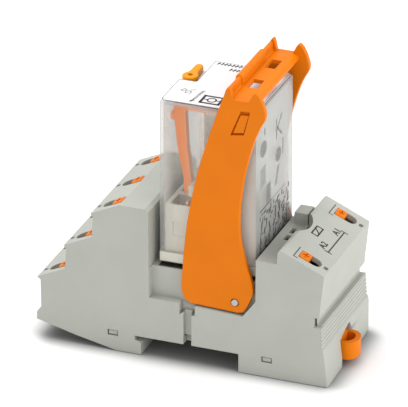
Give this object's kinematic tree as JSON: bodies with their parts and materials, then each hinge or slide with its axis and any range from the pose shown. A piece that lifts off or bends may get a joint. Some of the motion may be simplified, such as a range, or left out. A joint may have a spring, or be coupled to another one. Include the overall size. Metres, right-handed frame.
{
  "type": "plug-in relay",
  "caption": "Plug-in relay on a rail-mount socket with stepped push-in terminals, orange swing-over retaining and ejector bracket, test lever and sliding rail foot.",
  "frame": {"origin": "bottom of the socket's feet, under the mounting rail's centre line, half way across the width", "axes": "+X from the contact terminals to the coil terminals (across the rail), +Y across the module's width (along the rail), +Z off the rail"},
  "size_m": [0.1042, 0.043, 0.1001],
  "materials": {
    "housing_grey": "fine satin moulded plastic",
    "orange_plastic": "satin moulded plastic",
    "copper_alloy": "bright drawn strip",
    "pin_grey": "smooth moulded plastic",
    "clear_cover": "clear polished plastic",
    "label_white": "satin printed",
    "relay_cream": "satin moulded plastic",
    "winding_wrap": "taped winding",
    "bright_steel": "plated"
  },
  "bodies": {
    "socket": {"housing": "housing_grey", "base_plate": "housing_grey", "pivot_pin_front": "pin_grey", "pivot_pin_rear": "pin_grey", "terminal_contact_11": "copper_alloy", "terminal_contact_12": "copper_alloy", "terminal_contact_13": "copper_alloy", "terminal_contact_21": "copper_alloy", "terminal_contact_22": "copper_alloy", "terminal_contact_23": "copper_alloy", "terminal_contact_31": "copper_alloy", "terminal_contact_32": "copper_alloy", "terminal_contact_33": "copper_alloy", "terminal_coil_a2": "copper_alloy", "terminal_coil_a1": "copper_alloy"},
    "rail_foot": {"rail_foot": "orange_plastic"},
    "bracket": {"bracket": "orange_plastic"},
    "relay": {"relay_cover": "clear_cover", "relay_label": "label_white", "relay_base": "relay_cream", "break_blade_1": "copper_alloy", "make_blade_1": "copper_alloy", "common_blade_1": "copper_alloy", "break_blade_2": "copper_alloy", "make_blade_2": "copper_alloy", "common_blade_2": "copper_alloy", "break_blade_3": "copper_alloy", "make_blade_3": "copper_alloy", "common_blade_3": "copper_alloy", "coil_blade_1": "copper_alloy", "coil_blade_2": "copper_alloy", "bobbin": "relay_cream", "winding": "winding_wrap", "core": "bright_steel", "yoke": "bright_steel"},
    "armature": {"armature": "bright_steel", "spring_carrier": "relay_cream", "moving_spring_1": "copper_alloy", "moving_spring_2": "copper_alloy", "moving_spring_3": "copper_alloy"},
    "indicator": {"indicator_arm": "orange_plastic"},
    "test_button": {"test_stem": "orange_plastic"},
    "test_lever": {"test_lever": "orange_plastic"},
    "button_contact_11": {"button_contact_11": "orange_plastic"},
    "button_contact_12": {"button_contact_12": "orange_plastic"},
    "button_contact_13": {"button_contact_13": "orange_plastic"},
    "button_contact_21": {"button_contact_21": "orange_plastic"},
    "button_contact_22": {"button_contact_22": "orange_plastic"},
    "button_contact_23": {"button_contact_23": "orange_plastic"},
    "button_contact_31": {"button_contact_31": "orange_plastic"},
    "button_contact_32": {"button_contact_32": "orange_plastic"},
    "button_contact_33": {"button_contact_33": "orange_plastic"},
    "button_coil_a2": {"button_coil_a2": "orange_plastic"},
    "button_coil_a1": {"button_coil_a1": "orange_plastic"}
  },
  "joints": [
    {"name": "bracket_swing", "type": "hinge", "parent": "socket", "child": "bracket", "pos_m": [0.0164, 0, 0.0245], "axis": [0, 1, 0], "range_deg": [0, 9]},
    {"name": "relay_eject", "type": "slide", "parent": "socket", "child": "relay", "axis": [0, 0, 1], "range_m": [0, 0.0026]},
    {"name": "rail_foot_pull", "type": "slide", "parent": "socket", "child": "rail_foot", "axis": [1, 0, 0], "range_m": [0, 0.003], "stiffness_N_per_m": 1200},
    {"name": "test_press", "type": "slide", "parent": "relay", "child": "test_button", "axis": [0, 0, -1], "range_m": [0, 0.0009], "stiffness_N_per_m": 500},
    {"name": "test_lever_turn", "type": "hinge", "parent": "test_button", "child": "test_lever", "pos_m": [-0.0081, 0.0032, 0.0877], "axis": [0, 0, 1], "range_deg": [0, 90]},
    {"name": "indicator_rock", "type": "hinge", "parent": "relay", "child": "indicator", "pos_m": [0.011, 0, 0.0858], "axis": [0, 1, 0], "range_deg": [-3, 0]},
    {"name": "armature_swing", "type": "hinge", "parent": "relay", "child": "armature", "pos_m": [-0.0002, 0, 0.0839], "axis": [0, 1, 0], "range_deg": [-2.5, 0]},
    {"name": "press_contact_11", "type": "slide", "parent": "socket", "child": "button_contact_11", "axis": [0.4226, 0, -0.9063], "range_m": [0, 0.0012], "stiffness_N_per_m": 800},
    {"name": "press_contact_12", "type": "slide", "parent": "socket", "child": "button_contact_12", "axis": [0.4226, 0, -0.9063], "range_m": [0, 0.0012], "stiffness_N_per_m": 800},
    {"name": "press_contact_13", "type": "slide", "parent": "socket", "child": "button_contact_13", "axis": [0.4226, 0, -0.9063], "range_m": [0, 0.0012], "stiffness_N_per_m": 800},
    {"name": "press_contact_21", "type": "slide", "parent": "socket", "child": "button_contact_21", "axis": [0.4226, 0, -0.9063], "range_m": [0, 0.0012], "stiffness_N_per_m": 800},
    {"name": "press_contact_22", "type": "slide", "parent": "socket", "child": "button_contact_22", "axis": [0.4226, 0, -0.9063], "range_m": [0, 0.0012], "stiffness_N_per_m": 800},
    {"name": "press_contact_23", "type": "slide", "parent": "socket", "child": "button_contact_23", "axis": [0.4226, 0, -0.9063], "range_m": [0, 0.0012], "stiffness_N_per_m": 800},
    {"name": "press_contact_31", "type": "slide", "parent": "socket", "child": "button_contact_31", "axis": [0.4226, 0, -0.9063], "range_m": [0, 0.0012], "stiffness_N_per_m": 800},
    {"name": "press_contact_32", "type": "slide", "parent": "socket", "child": "button_contact_32", "axis": [0.4226, 0, -0.9063], "range_m": [0, 0.0012], "stiffness_N_per_m": 800},
    {"name": "press_contact_33", "type": "slide", "parent": "socket", "child": "button_contact_33", "axis": [0.4226, 0, -0.9063], "range_m": [0, 0.0012], "stiffness_N_per_m": 800},
    {"name": "press_coil_a2", "type": "slide", "parent": "socket", "child": "button_coil_a2", "axis": [-0.4067, 0, -0.9135], "range_m": [0, 0.0012], "stiffness_N_per_m": 800},
    {"name": "press_coil_a1", "type": "slide", "parent": "socket", "child": "button_coil_a1", "axis": [-0.4067, 0, -0.9135], "range_m": [0, 0.0012], "stiffness_N_per_m": 800}
  ],
  "couplings": [
    {"joint": "bracket_swing", "follows": "relay_eject", "rad_per_m": 60},
    {"joint": "indicator_rock", "follows": "test_press", "rad_per_m": -52},
    {"joint": "armature_swing", "follows": "test_press", "rad_per_m": -42}
  ]
}
